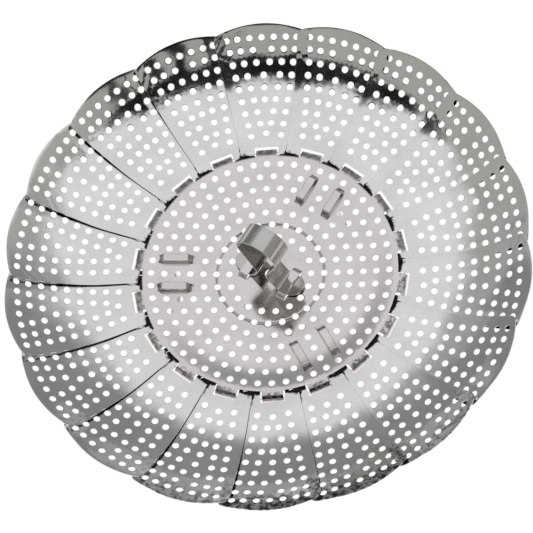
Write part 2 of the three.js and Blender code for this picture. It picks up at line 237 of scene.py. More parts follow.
# Legs
LEG_COUNT = 3
PIN_HEIGHT = 35.0
LEG_SHEET = 1.0
LEG_CRANK = 3.0
LEG_TOE = 4.0
LEG_FOOT_BAR = 5.0
LEG_ARM = 2.2
LEG_BEND = 1.6
LEG_EDGE = 0.15
LEG_END_CORNER = 0.6
LEG_CORNER = 2.5
LEG_STEP = 0.6
LEG_PITCH = 0.9
LEG_GRID_ROOM = 0.8
LEG_WINDOW_ROOM = 0.7
PIN_BEVEL = 0.2
PIN_RADIUS = 0.55
PIN_LENGTH = 2.8

# Handle
HANDLE_SHEET = 0.8
HANDLE_WIDTH = 10.4
HANDLE_HEIGHT = 40.0
HANDLE_LOOP_RADIUS = 9.8
HANDLE_NECK = (1.9, 9.5)
HANDLE_FOOT_BEND = 7.0
HANDLE_BEARING = 0.7
HANDLE_FOOT_RAISE = 10.0
HANDLE_FOOT_ROOM = 0.3
HANDLE_BENDS = (4.0, 3.0, 4.5)
HANDLE_EDGE = 0.12
HANDLE_END_STEPS = 24
HANDLE_STEP = 0.6
HANDLE_PITCH = 0.9
HANDLE_GRID_ROOM = 0.7


# Lines and outlines

def heading_of(start, end):
    return math.degrees(math.atan2(end[1] - start[1], end[0] - start[0]))


class BentLine:
    """A line in a plane made of straight and evenly bent stretches, read by the distance along it."""

    def __init__(self, start, heading, moves):
        self.samples = [(0.0, start[0], start[1], heading)]
        for length, turn in moves:
            self._walk(length, turn)

    def _walk(self, length, turn):
        parts = max(1, math.ceil(abs(turn) / BEND_STEP))
        for _ in range(parts):
            travelled, x, z, heading = self.samples[-1]
            middle = math.radians(heading + turn / parts / 2)
            half_turn = math.radians(abs(turn) / parts / 2)
            chord = length / parts * (math.sin(half_turn) / half_turn if half_turn else 1)
            self.samples.append((
                travelled + length / parts,
                x + chord * math.cos(middle),
                z + chord * math.sin(middle),
                heading + turn / parts,
            ))

    @property
    def length(self):
        return self.samples[-1][0]

    def at(self, distance):
        """The point and heading at a distance; beyond the ends the line runs on straight."""
        low, high = 0, len(self.samples) - 1
        while high - low > 1:
            middle = (low + high) // 2
            if self.samples[middle][0] <= distance:
                low = middle
            else:
                high = middle
        s0, x0, z0, h0 = self.samples[low]
        s1, x1, z1, h1 = self.samples[high]
        share = (distance - s0) / (s1 - s0)
        bend_share = min(1, max(0, share))
        return x0 + (x1 - x0) * share, z0 + (z1 - z0) * share, h0 + (h1 - h0) * bend_share

    def distance_at_x(self, x):
        low, high = -20.0, self.length + 20.0
        for _ in range(50):
            middle = (low + high) / 2
            if self.at(middle)[0] < x:
                low = middle
            else:
                high = middle
        return low


def cornered_moves(points, radii):
    """Moves of a BentLine through points, with each inner corner rounded to its radius."""
    headings = [heading_of(a, b) for a, b in zip(points, points[1:])]
    lengths = [math.dist(a, b) for a, b in zip(points, points[1:])]
    moves = []
    spent = 0.0
    for index, length in enumerate(lengths):
        if index == len(lengths) - 1:
            moves.append((length - spent, 0))
            break
        turn = (headings[index + 1] - headings[index] + 180) % 360 - 180
        setback = radii[index] * math.tan(math.radians(abs(turn)) / 2)
        moves.append((length - spent - setback, 0))
        moves.append((radii[index] * math.radians(abs(turn)), turn))
        spent = setback
    return headings[0], moves


def rounded_loop(points, radii, steps=5):
    """A closed outline with its corners rounded."""
    loop = []
    count = len(points)
    for index in range(count):
        before = Vector(points[index - 1])
        corner = Vector(points[index])
        after = Vector(points[(index + 1) % count])
        radius = radii[index]
        if radius == 0:
            loop.append(corner)
            continue
        start = corner + (before - corner).normalized() * radius
        end = corner + (after - corner).normalized() * radius
        for step in range(steps + 1):
            t = step / steps
            loop.append(start * (1 - t) ** 2 + corner * 2 * t * (1 - t) + end * t ** 2)
    return loop


def divided(loop, longest):
    """A closed outline with long sides split."""
    result = []
    for index, point in enumerate(loop):
        following = Vector(loop[(index + 1) % len(loop)])
        point = Vector(point)
        parts = max(1, math.ceil((following - point).length / longest))
        result += [point.lerp(following, part / parts) for part in range(parts)]
    return result


def circle(x, y, radius, steps):
    """A round cut, taken clockwise."""
    turns = [-math.tau * step / steps for step in range(steps)]
    return [Vector((x + radius * math.cos(turn), y + radius * math.sin(turn))) for turn in turns]


def smooth(low, high, value):
    share = min(1, max(0, (value - low) / (high - low)))
    return share * share * (3 - 2 * share)


# Thin metal meshes

class Metal:
    """Points, faces and corner normals of one piece, in millimetres."""

    def __init__(self):
        self.points = []
        # How dark each point is painted: painted shade in crevices and at edges, and painted dark
        # reflections
        self.painted_shade_and_reflection = []
        self.faces = []
        self.normals = []

    def point(self, place, painted_shade_and_reflection=0.0):
        self.points.append(Vector(place))
        self.painted_shade_and_reflection.append(painted_shade_and_reflection)
        return len(self.points) - 1

    def face(self, corners, normals):
        self.faces.append(corners)
        self.normals += normals

    def sheet(self, outline, cuts, inner, surface, thickness, edge, roll=0.0, painted_shade_and_reflection=None):
        """A sheet bent from a flat outline, with rounded edges all round it and round its cuts.

        The outline runs anticlockwise and the cuts clockwise; surface(u, v, at) gives the middle of the
        sheet at (u, v), on the feature of the sheet that the flat point at belongs to. The roll leans the
        shading of the upper face towards each cut, as punching does. The last argument, a function of (u, v,
        at_edge), says how dark the sheet is painted with painted shade and painted dark reflection, on its
        upper face and on its outer edge.
        """
        loops = [outline] + cuts
        flat = [point for loop in loops for point in loop] + inner
        loop_of = [number for number, loop in enumerate(loops) for _ in loop] + [-1] * len(inner)
        edges = []
        start = 0
        for loop in loops:
            edges += [(start + i, start + (i + 1) % len(loop)) for i in range(len(loop))]
            start += len(loop)
        places, _, triangles, sources, _, _ = delaunay_2d_cdt(flat, edges, [], 1, 1e-6)
        owner = [loop_of[source[0]] if source else -1 for source in sources]
        position_of = {source[0]: index for index, source in enumerate(sources) if source}

        middles, normals = [], []
        for u, v in places:
            at = (u, v)
            along = surface(u + NEAR, v, at) - surface(u - NEAR, v, at)
            across = surface(u, v + NEAR, at) - surface(u, v - NEAR, at)
            middles.append(surface(u, v, at))
            normals.append(along.cross(across).normalized())
        half = thickness / 2
        upward = list(normals)
        start = len(outline)
        for cut in cuts:
            ring = [position_of[start + i] for i in range(len(cut))]
            middle = sum((middles[index] for index in ring), Vector()) / len(ring)
            for index in ring:
                inward = (middle - middles[index]).normalized()
                upward[index] = (normals[index] + inward * roll).normalized()
            start += len(cut)
        dark = [painted_shade_and_reflection(u, v, False) if painted_shade_and_reflection else 0.0 for u, v in places]
        top = [self.point(p + n * half, d) for p, n, d in zip(middles, normals, dark)]
        bottom = [self.point(p - n * half) for p, n in zip(middles, normals)]
        for a, b, c in triangles:
            if owner[a] > 0 and owner[a] == owner[b] == owner[c]:
                continue
            self.face((top[a], top[b], top[c]), [upward[a], upward[b], upward[c]])
            self.face((bottom[c], bottom[b], bottom[a]), [-normals[c], -normals[b], -normals[a]])

        start = 0
        for loop in loops:
            ring = [position_of[start + i] for i in range(len(loop))]
            start += len(loop)
            edge_painted_shade_and_reflection = painted_shade_and_reflection if loop is outline else None
            self._edge(ring, places, middles, normals, top, bottom, surface, half, edge, edge_painted_shade_and_reflection)

    def _edge(self, ring, places, middles, normals, top, bottom, surface, half, edge, painted_shade_and_reflection):
        count = len(ring)
        outward, upper, lower = [], [], []
        for i, index in enumerate(ring):
            before = places[ring[i - 1]]
            after = places[ring[(i + 1) % count]]
            travel = (after - before).normalized()
            u, v = places[index]
            beyond = surface(u + travel.y * NEAR, v - travel.x * NEAR, (u, v)) - middles[index]
            normal = normals[index]
            out = (beyond - normal * beyond.dot(normal)).normalized()
            outward.append(out)
            dark = painted_shade_and_reflection(u, v, True) if painted_shade_and_reflection else 0.0
            upper.append(self.point(middles[index] + out * edge + normal * (half - edge), dark))
            lower.append(self.point(middles[index] + out * edge - normal * (half - edge), dark))
        for i in range(count):
            j = (i + 1) % count
            a, b = ring[i], ring[j]
            wall = [outward[i], outward[j]]
            self.face((top[b], top[a], upper[i], upper[j]), [normals[b], normals[a], *wall])
            self.face((upper[j], upper[i], lower[i], lower[j]), [wall[1], wall[0], *wall])
            under = [-normals[a], -normals[b]]
            self.face((lower[j], lower[i], bottom[a], bottom[b]), [wall[1], wall[0], *under])

    def rod(self, start, end, radius, bevel, sides=20):
        """A round pin with rounded ends."""
        start, end = Vector(start), Vector(end)
        axis = (end - start).normalized()
        side = axis.orthogonal().normalized()
        other = axis.cross(side)
        turns = [math.tau * i / sides for i in range(sides)]
        spokes = [side * math.cos(turn) + other * math.sin(turn) for turn in turns]
        rings = []
        profile = (
            (start, radius - bevel, -axis), (start + axis * bevel, radius, None),
            (end - axis * bevel, radius, None), (end, radius - bevel, axis),
        )
        for centre, size, _ in profile:
            rings.append([self.point(centre + spoke * size) for spoke in spokes])
        ways = [[cap if cap else spoke for spoke in spokes] for _, _, cap in profile]
        for low in range(3):
            for i in range(sides):
                j = (i + 1) % sides
                self.face(
                    (rings[low][i], rings[low][j], rings[low + 1][j], rings[low + 1][i]),
                    [ways[low][i], ways[low][j], ways[low + 1][j], ways[low + 1][i]],
                )
        self.face(tuple(reversed(rings[0])), [-axis] * sides)
        self.face(tuple(rings[3]), [axis] * sides)

    def made(self, name, place, material):
        """The finished object, with place applied to its points."""
        turn = place.to_3x3()
        mesh = bpy.data.meshes.new(name)
        mesh.from_pydata([(place @ point) * MM for point in self.points], [], self.faces)
        mesh.polygons.foreach_set("use_smooth", [True] * len(mesh.polygons))
        mesh.normals_split_custom_set([(turn @ normal).normalized() for normal in self.normals])
        # The painted shade and painted dark reflection of each point, for the material to read
        mesh.attributes.new("painted_shade_and_reflection", "FLOAT", "POINT").data.foreach_set("value", self.painted_shade_and_reflection)
        mesh.materials.append(material)
        piece = bpy.data.objects.new(name, mesh)
        bpy.context.scene.collection.objects.link(piece)
        return piece


def turned(angle):
    return Matrix.Rotation(math.radians(angle), 4, "Z")


def grid(low, high, pitch):
    """Points of a triangular grid over a rectangle."""
    points = []
    row = 0
    y = low[1]
    while y <= high[1]:
        x = low[0] + (pitch / 2 if row % 2 else 0)
        while x <= high[0]:
            points.append((x, y))
            x += pitch
        y += pitch * ROW_RATIO
        row += 1
    return points


# Base plate

class Bridge:
    """A strip of the plate pressed up: an open one is cut free on both sides, a closed one joins the plate
    by sloping walls.
    """

    def __init__(self, angle, out, across, turn, size, closed):
        self.closed = closed
        line = math.radians(angle)
        self.x = out * math.cos(line) - across * math.sin(line)
        self.y = out * math.sin(line) + across * math.cos(line)
        self.way = Vector((math.cos(line + math.radians(turn)), math.sin(line + math.radians(turn))))
        self.half_length = size["length"] / 2
        self.half_flat = size["flat"] / 2
        self.half_width = size["width"] / 2
        self.lift = size["lift"]

    def local(self, x, y):
        x, y = x - self.x, y - self.y
        return x * self.way.x + y * self.way.y, y * self.way.x - x * self.way.y

    def flat_point(self, along, aside):
        return Vector((self.x + along * self.way.x - aside * self.way.y,
                       self.y + along * self.way.y + aside * self.way.x))

    def holds(self, x, y):
        along, aside = self.local(x, y)
        wall = BRIDGE_WALL if self.closed else BRIDGE_END_ROOM
        return abs(along) < self.half_length and abs(aside) < self.half_width + wall

    def near(self, x, y, margin):
        along, aside = self.local(x, y)
        reach = self.half_width + (BRIDGE_WALL if self.closed else BRIDGE_ROOM)
        return abs(along) < self.half_length + margin and abs(aside) < reach + margin

    def rise(self, x, y):
        along, aside = self.local(x, y)
        rise = self.lift * smooth(self.half_length, self.half_flat, abs(along))
        if self.closed:
            rise *= smooth(self.half_width + BRIDGE_WALL, self.half_width, abs(aside))
        return rise

    # Painted shade: darker down the ramps, beyond the end of the flat top
    def painted_shade_and_reflection(self, x, y):
        along, _ = self.local(x, y)
        return BRIDGE_END_PAINTED_SHADE * smooth(self.half_flat, self.half_flat + 1, abs(along))

    def slits(self):
        loops = []
        for side in () if self.closed else (-1, 1):
            inner, outer = side * self.half_width, side * (self.half_width + BRIDGE_SLIT)
            end = self.half_length
            corners = [(-end, inner), (-end, outer), (end, outer), (end, inner)]
            if side < 0:
                corners.reverse()
            loops.append(divided([self.flat_point(*corner) for corner in corners], BRIDGE_SLIT_STEP))
        return loops

    def inner_points(self):
        first = -self.half_length + BRIDGE_END_ROOM
        span = 2 * self.half_length - 2 * BRIDGE_END_ROOM
        rows = [first + i * span / BRIDGE_ROWS for i in range(BRIDGE_ROWS + 1)]
        places = [share * self.half_width for share in BRIDGE_LINES]
        if self.closed:
            walls = [self.half_width + BRIDGE_WALL * share for share in BRIDGE_WALL_LINES]
            places += walls + [-wall for wall in walls]
        return [self.flat_point(row, place) for row in rows for place in places]


def plate_bridges():
    bridges = []
    for leg in range(LEG_COUNT):
        for side in (-1, 1):
            angle = BASE_AXIS + 360 / LEG_COUNT * leg
            bridges.append(Bridge(angle, LEG_RADIUS, side * LEG_SPREAD / 2, 0, LEG_BRIDGE, True))
    for side in (-90, 90):
        bridges.append(Bridge(BASE_AXIS + side, HANDLE_BRIDGE_OFFSET, 0, 90, HANDLE_BRIDGE, False))
    return bridges


def plate_holes(bridges):
    holes = []
    for ring in range(RING_COUNT):
        radius = FIRST_RING + ring * RING_PITCH
        count = FIRST_COUNT + ring * COUNT_GAIN
        for index in range(count):
            turn = math.radians(BASE_AXIS + 360 * index / count)
            x, y = radius * math.cos(turn), radius * math.sin(turn)
            if not any(bridge.near(x, y, BRIDGE_CLEAR) for bridge in bridges):
                holes.append((x, y))
    return holes


def tongue_line():
    """The tongue's section from inside the rim, over the dip and round the curl."""
    rim_slope = math.degrees(math.atan(BASE_RADIUS / DISH_RADIUS))
    start = (TONGUE_START, plate_height(TONGUE_START, 0))
    rim = (BASE_RADIUS, start[1] + (BASE_RADIUS - TONGUE_START) * math.tan(math.radians(rim_slope)))
    touch = math.radians(90 - TONGUE_DIP)
    contact = (HINGE_RADIUS + HOOK_RADIUS * math.cos(touch), HINGE_HEIGHT + HOOK_RADIUS * math.sin(touch))
    _, moves = cornered_moves([start, rim, contact], [TONGUE_BEND])
    curl = 180 - TONGUE_DIP
    moves += [(HOOK_RADIUS * math.radians(curl), -curl), (HOOK_LIP, 0)]
    return BentLine(start, rim_slope, moves)


def plate_height(x, y):
    """The middle of the dished sheet, with its pressed groove, shallow trough and turned-down rim."""
    radius = math.hypot(x, y)
    groove = GROOVE_DEPTH * math.exp(-((radius - GROOVE_RADIUS) / GROOVE_WIDTH) ** 2)
    roll = RIM_ROLL * max(0, radius - RIM_RADIUS + RIM_ROLL_REACH) ** 2
    inner, deepest, outer = TROUGH_REACH
    trough = TROUGH_DEPTH * smooth(inner, deepest, radius) * smooth(outer, deepest, radius)
    return PLATE_MIDDLE - SHEET / 2 + radius ** 2 / (2 * DISH_RADIUS) - groove - trough - roll


def tongue_angles():
    return [PETAL_PHASE + 360 / PETAL_COUNT * index for index in range(PETAL_COUNT)]


def plate_outline(line):
    """The flat blank of the plate: a disc with a tongue for each petal."""
    half = TONGUE_WIDTH / 2 - SHEET_EDGE
    corner = math.degrees(math.asin(half / BASE_RADIUS))
    end = TONGUE_START + line.length
    steps = [BASE_RADIUS + TONGUE_STEP * i for i in range(1, int((end - BASE_RADIUS) / TONGUE_STEP))]
    points = []
    for angle in tongue_angles():
        spin = Matrix.Rotation(math.radians(angle), 2)
        side = [Vector((x, -half)) for x in steps]
        tip = [Vector((end, half * share)) for share in TONGUE_TIP_LINES]
        back = [Vector((x, half)) for x in reversed(steps)]
        points += [spin @ point for point in side + tip + back]
        gap = 360 / PETAL_COUNT - 2 * corner
        for step in range(RIM_STEPS + 1):
            turn = math.radians(angle + corner + gap * step / RIM_STEPS)
            points.append(Vector((RIM_RADIUS * math.cos(turn), RIM_RADIUS * math.sin(turn))))
    return points


def ring_points(radius, count):
    turns = [math.tau * i / count for i in range(count)]
    return [Vector((radius * math.cos(turn), radius * math.sin(turn))) for turn in turns]


def plate_inner_points(bridges, holes, line):
    clear = HOLE_RADIUS + HOLE_ROOM
    reach = RIM_RADIUS - PLATE_GRID_ROOM
    candidates = [Vector(p) for p in grid((-reach, -reach), (reach, reach), PLATE_PITCH)
                  if math.hypot(*p) < RIM_RADIUS - RIM_ROOM]
    for step in range(-GROOVE_RINGS, GROOVE_RINGS + 1):
        candidates += ring_points(GROOVE_RADIUS + step * GROOVE_RING_PITCH, GROOVE_RING_POINTS)
    for room in RIM_RINGS:
        candidates += ring_points(RIM_RADIUS - room, RIM_RING_POINTS)
    for x, y in holes:
        candidates += circle(x, y, clear + HOLE_RING_ROOM, HOLE_RING_POINTS)
    kept = [p for p in candidates
            if p.length > CENTRE_HOLE_RADIUS + HOLE_ROOM
            and not any(bridge.near(p.x, p.y, BRIDGE_GRID_ROOM) for bridge in bridges)
            and all((p.x - x) ** 2 + (p.y - y) ** 2 > clear ** 2 for x, y in holes)]
    for bridge in bridges:
        kept += bridge.inner_points()
    end = TONGUE_START + line.length
    for angle in tongue_angles():
        spin = Matrix.Rotation(math.radians(angle), 2)
        x = BASE_RADIUS + TONGUE_GRID_ROOM
        while x < end - 2 * TONGUE_GRID_ROOM:
            kept += [spin @ Vector((x, TONGUE_WIDTH * share)) for share in TONGUE_LINES]
            x += TONGUE_STEP
    return kept


def base_plate(material):
    bridges = plate_bridges()
    holes = plate_holes(bridges)
    line = tongue_line()

    def surface(u, v, at):
        if math.hypot(*at) > TONGUE_START:
            turn = math.degrees(math.atan2(at[1], at[0]))
            step = 360 / PETAL_COUNT
            angle = PETAL_PHASE + step * round((turn - PETAL_PHASE) / step)
            x, y = Matrix.Rotation(math.radians(-angle), 2) @ Vector((u, v))
            ax, ay = Matrix.Rotation(math.radians(-angle), 2) @ Vector(at)
            if abs(ay) < TONGUE_WIDTH / 2 + NEAR and ax > TONGUE_START:
                out, height, _ = line.at(x - TONGUE_START)
                return turned(angle) @ Vector((out, y, height + y * y / (2 * DISH_RADIUS)))
        height = plate_height(u, v)
        for bridge in bridges:
            if bridge.holds(*at):
                height += bridge.rise(u, v)
        return Vector((u, v, height))

    # Painted shade: the plate's cut edge at the rim, the ramps of the leg bridges, and the tongues from the
    # rim round their curl
    def painted_shade_and_reflection(u, v, at_edge):
        if at_edge:
            return 1.0 if abs(math.hypot(u, v) - RIM_RADIUS) < RIM_EDGE_REACH else 0.0
        for bridge in bridges:
            if bridge.closed and bridge.holds(u, v):
                return bridge.painted_shade_and_reflection(u, v)
        rim, clear, shade_fade_start, shade_end = TONGUE_PAINTED_SHADE_REACH
        radius = math.hypot(u, v)
        return TONGUE_PAINTED_SHADE * smooth(rim, clear, radius) * smooth(shade_end, shade_fade_start, radius)

    edge = SHEET_EDGE
    cuts = [circle(x, y, HOLE_RADIUS + edge, PLATE_HOLE_STEPS) for x, y in holes]
    cuts.append(circle(0, 0, CENTRE_HOLE_RADIUS + edge, CENTRE_HOLE_STEPS))
    for bridge in bridges:
        cuts += bridge.slits()
    metal = Metal()
    inner = plate_inner_points(bridges, holes, line)
    metal.sheet(plate_outline(line), cuts, inner, surface, SHEET, edge, HOLE_ROLL, painted_shade_and_reflection)
    return metal.made("steamer_plate", Matrix(), material)


# Petals

def petal_line():
    return BentLine((0, PETAL_LIFT), PETAL_SLOPE, [
        (PETAL_FLAT, 0),
        (PETAL_BEND_RADIUS * math.radians(PETAL_BEND), PETAL_BEND),
        (PETAL_TIP, 0),
    ])


def petal_half_width(x):
    return (HINGE_RADIUS + x) * math.tan(math.radians(PETAL_SPREAD))


def petal_outline(line):
    """The flat outline of a petal: distance along the sheet, and to the side with the leading edge at +."""
    tip = line.at(line.length)[0]
    centre = tip - TIP_ARC_RADIUS

    def tip_at(y):
        return centre + math.sqrt(TIP_ARC_RADIUS ** 2 - y ** 2)

    corner = petal_half_width(tip_at(petal_half_width(tip)))
    corner_x = tip_at(corner)
    plan = [
        (NOTCH_REACH, NOTCH_HALF), (NOTCH_REACH, -NOTCH_HALF), (-TUCK_REACH, -NOTCH_HALF),
        (-TUCK_REACH, -TUCK_HALF), TUCK_CORNER, (TUCK_FLARE, -TUCK_FLARE - petal_half_width(TUCK_FLARE)),
        (TUCK_END, -petal_half_width(TUCK_END)), (corner_x, -corner),
    ]
    radii = [NOTCH_CORNER, NOTCH_CORNER, EAR_CORNER, NOTCH_CORNER, NOTCH_CORNER, FLARE_CORNER, FLARE_CORNER,
             TIP_CORNER]
    arc = [-TIP_ARC_SHARE * corner + 2 * TIP_ARC_SHARE * corner * step / TIP_ARC_STEPS
           for step in range(TIP_ARC_STEPS + 1)]
    plan += [(tip_at(y), y) for y in arc]
    radii += [0] * len(arc)
    root = -ROOT_GAP
    plan += [(corner_x, corner), (root, petal_half_width(root)), (root, EAR_HALF[1])]
    plan += [(-EAR_REACH, EAR_HALF[0]), (-EAR_REACH, NOTCH_HALF)]
    radii += [TIP_CORNER, NOTCH_CORNER, EAR_CORNER, EAR_CORNER, EAR_CORNER]
    flat = [(line.distance_at_x(x), y) for x, y in plan]
    return divided(rounded_loop(flat, radii), PETAL_OUTLINE_STEP)


def petal_holes():
    holes = []
    for distance, places in PETAL_ROWS:
        widest = places[-1]
        for place in places:
            for side in (-1, 1) if place else (1,):
                bow = ROW_BOW * (ROW_MIDDLE - (place / widest) ** 2)
                if len(places) == 2 and place == 0:
                    bow += FIRST_ROW_SHIFT
                holes.append((distance + bow, side * place))
    return holes


def wave(turns, u, v, phase):
    along, across, by_petal = turns
    return math.sin(along * u + across * v + by_petal * phase)


def room_to_tip(tip, x, v):
    """How far a point lies inside the rounded tip edge."""
    return tip - x - v * v / (2 * TIP_ARC_RADIUS) - v ** 4 / (8 * TIP_ARC_RADIUS ** 3)


def petal_forming(u, v, edge_room, tip_room, phase):
    """How far the sheet lies above its plain bent form."""
    reach = max(v, -TRAILING_DISH_REACH)
    radius = LEADING_DISH_RADIUS if v > 0 else TRAILING_DISH_RADIUS
    height = reach * reach / (2 * radius) * smooth(DISH_START, DISH_END, u)
    height -= ROOT_DIP * smooth(*ROOT_DIP_REACH, u) * smooth(*ROOT_DIP_SIDE, -v)
    dents = wave(DENT_WAVES[0], u, v, phase) * wave(DENT_WAVES[1], u, v, phase)
    height += DENT * smooth(*DENT_START, u) * smooth(DENT_REACH, DENT_FULL, edge_room) * dents
    height -= TIP_ROLL * max(0, 1 - tip_room / TIP_ROLL_REACH) ** 2
    share = min(1, max(0, (u - SAG_REACH[0]) / (SAG_REACH[1] - SAG_REACH[0])))
    height -= SAG * math.sin(math.pi * share) ** 2
    waves = wave(LONG_WAVES[0], u, v, phase) * wave(LONG_WAVES[1], u, v, phase)
    waves += sum(size * wave(turns, u, v, phase) for size, turns in SHORT_WAVES)
    return height + WAVE * smooth(*WAVE_START, u) * waves


def petal_painted_shade_and_reflection(u, v, edge_room, at_edge, painted_reflection_strength):
    """Painted shade in the crevice at the root, and a painted dark reflection at the tip and its leading
    corner.
    """
    # Painted shade in the crevice: the leading ear's cut edge at the root, and the root itself, reaching
    # further out on the trailing side
    if at_edge and u < ROOT_EDGE_REACH - ROOT_GAP and v > NOTCH_HALF:
        return 1.0
    start = ROOT_PAINTED_SHADE[0] + (ROOT_PAINTED_SHADE[1] - ROOT_PAINTED_SHADE[0]) * smooth(*ROOT_PAINTED_SHADE_SIDE, -v)
    root = smooth(start, start - ROOT_PAINTED_SHADE_FADE, u)
    # Painted dark reflection over the tip and at its leading corner, scaled by the petal's place round the
    # basket
    corner = CORNER_PAINTED_REFLECTION * smooth(*CORNER_PAINTED_REFLECTION_REACH, u) * smooth(DENT_REACH, DENT_FULL, edge_room)
    tip = painted_reflection_strength * max(corner, smooth(*TIP_PAINTED_REFLECTION_REACH, u))
    return max(root, tip)


def petal(number, line, outline, holes, inner, material):
    twist = Matrix.Rotation(math.radians(PETAL_TWIST), 4, "X")
    phase = number * PHASE_STEP
    tip = line.at(line.length)[0]

    def surface(u, v, at):
        x, z, heading = line.at(u)
        height = petal_forming(u, v, petal_half_width(x) - v, room_to_tip(tip, x, v), phase)
        slope = math.radians(heading)
        return twist @ Vector((x - height * math.sin(slope), v, z + height * math.cos(slope)))

    angle = PETAL_PHASE + 360 / PETAL_COUNT * number
    # Painted dark reflection on the tips, strongest on the petals at one side of the basket
    from_painted_reflection_side = (angle - TIP_PAINTED_REFLECTION_SIDE + 180) % 360 - 180
    painted_reflection_strength = TIP_PAINTED_REFLECTION * math.exp(-(from_painted_reflection_side / TIP_PAINTED_REFLECTION_SPREAD) ** 2)

    # Painted shade at the root and painted dark reflection at the tip, for each point
    def painted_shade_and_reflection(u, v, at_edge):
        return petal_painted_shade_and_reflection(u, v, petal_half_width(line.at(u)[0]) - v, at_edge, painted_reflection_strength)

    edge = SHEET_EDGE
    metal = Metal()
    cuts = [circle(x, y, HOLE_RADIUS + edge, PETAL_HOLE_STEPS) for x, y in holes]
    metal.sheet(outline, cuts, inner, surface, SHEET, edge, HOLE_ROLL, painted_shade_and_reflection)
    root_bar(metal)
    place = turned(angle) @ Matrix.Translation((HINGE_RADIUS, 0, HINGE_HEIGHT))
    return metal.made("petal_leaf_%02d" % (number + 1), place, material)


def root_bar(metal):
    """The bar on the hinge's axis and the two hangers that carry it from the ears."""
    side = NOTCH_HALF + HANGER_SETBACK
    raised = side * math.tan(math.radians(PETAL_TWIST))
    points = [(side, PETAL_LIFT + raised), (side, 0), (-side, 0), (-side, PETAL_LIFT - raised)]
    heading, moves = cornered_moves(points, [ROOT_BAR_BEND, ROOT_BAR_BEND])
    line = BentLine(points[0], heading, moves)

    def surface(u, v, at):
        y, z, _ = line.at(u)
        return Vector((v, y, z))

    half = ROOT_BAR_WIDTH / 2 - ROOT_BAR_EDGE
    outline = [(0, -half), (line.length, -half), (line.length, half), (0, half)]
    metal.sheet(divided(outline, ROOT_BAR_STEP), [], [], surface, ROOT_BAR_SHEET, ROOT_BAR_EDGE)


def petal_inner_points(line, holes):
    clear = HOLE_RADIUS + HOLE_ROOM
    tip = line.at(line.length)[0]
    coarse_end = TIP_GRID_START - TIP_GRID_GAP
    candidates = grid((PETAL_GRID_START, -PETAL_REACH), (coarse_end, PETAL_REACH), PETAL_PITCH)
    candidates += grid((TIP_GRID_START, -PETAL_REACH), (line.length, PETAL_REACH), TIP_PITCH)
    for low, high, pitch in ROOT_GRIDS:
        candidates += grid(low, high, pitch)
    for x, y in holes:
        ring = circle(x, y, clear + HOLE_RING_ROOM, HOLE_RING_POINTS)
        candidates += [tuple(point) for point in ring]
    for room in TIP_ROWS:
        for step in range(-TIP_ROW_STEPS, TIP_ROW_STEPS + 1):
            v = step * TIP_ROW_PITCH
            plan = tip - v * v / (2 * TIP_ARC_RADIUS) - room
            candidates.append((line.distance_at_x(plan), v))
    inner = []
    for u, v in candidates:
        x = line.at(u)[0]
        if room_to_tip(tip, x, v) < TIP_GRID_ROOM or abs(v) > petal_half_width(x) - SIDE_GRID_ROOM:
            continue
        if u < NOTCH_REACH + NOTCH_GRID_ROOM and abs(v) < NOTCH_HALF + NOTCH_GRID_ROOM:
            continue
        if u < ROOT_EDGE_REACH - ROOT_GAP and v > EAR_GRID_LIMIT:
            continue
        if u < TUCK_GRID_START and v < -TUCK_GRID_LIMIT:
            continue
        if any((u - x) ** 2 + (v - y) ** 2 < clear ** 2 for x, y in holes):
            continue
        inner.append(Vector((u, v)))
    return inner


def petals(material):
    line = petal_line()
    outline = petal_outline(line)
    holes = petal_holes()
    inner = petal_inner_points(line, holes)
    for number in range(PETAL_COUNT):
        node = "petal_%02d" % (number + 1)
        piece = petal(number, line, outline, holes, inner, material)
        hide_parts(node)
        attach(piece, node)


# Legs

def legs(material):
    sole = LEG_SHEET / 2 - PIN_HEIGHT
    corners = [(0, 0), (LEG_CRANK, 0), (LEG_CRANK, sole), (LEG_CRANK + LEG_TOE, sole)]
    heading, moves = cornered_moves(corners, [LEG_BEND, LEG_BEND])
    line = BentLine(corners[0], heading, moves)
    edge = LEG_EDGE
    outer = LEG_SPREAD / 2 + LEG_ARM / 2 - edge
    window = LEG_SPREAD / 2 - LEG_ARM / 2 + edge
    end = line.length - edge
    bar = LEG_CRANK + PIN_HEIGHT - LEG_FOOT_BAR - LEG_BEND * (2 - math.pi / 2) + edge
    outline = rounded_loop(
        [(0, -outer), (end, -outer), (end, outer), (0, outer),
         (0, window), (bar, window), (bar, -window), (0, -window)],
        [LEG_END_CORNER, LEG_CORNER, LEG_CORNER, LEG_END_CORNER] * 2)
    outline = divided(outline, LEG_STEP)
    room = LEG_GRID_ROOM
    inner = [Vector((u, v)) for u, v in grid((room, -outer + room), (end - room, outer - room), LEG_PITCH)
             if u > bar + room or window + LEG_WINDOW_ROOM < abs(v)]

    def surface(u, v, at):
        x, z, _ = line.at(u)
        return Vector((x, v, z))

    for number in range(LEG_COUNT):
        node = "leg_%d" % (number + 1)
        metal = Metal()
        metal.sheet(outline, [], inner, surface, LEG_SHEET, edge)
        for side in (-1, 1):
            middle = side * LEG_SPREAD / 2
            ends = [(0, middle - PIN_LENGTH / 2, 0), (0, middle + PIN_LENGTH / 2, 0)]
            metal.rod(*ends, PIN_RADIUS, PIN_BEVEL)
        angle = BASE_AXIS + 360 / LEG_COUNT * number
        place = turned(angle) @ Matrix.Translation((LEG_RADIUS, 0, PIN_HEIGHT))
        piece = metal.made("folding_leg_%d" % (number + 1), place, material)
        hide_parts(node)
        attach(piece, node)


# Handle

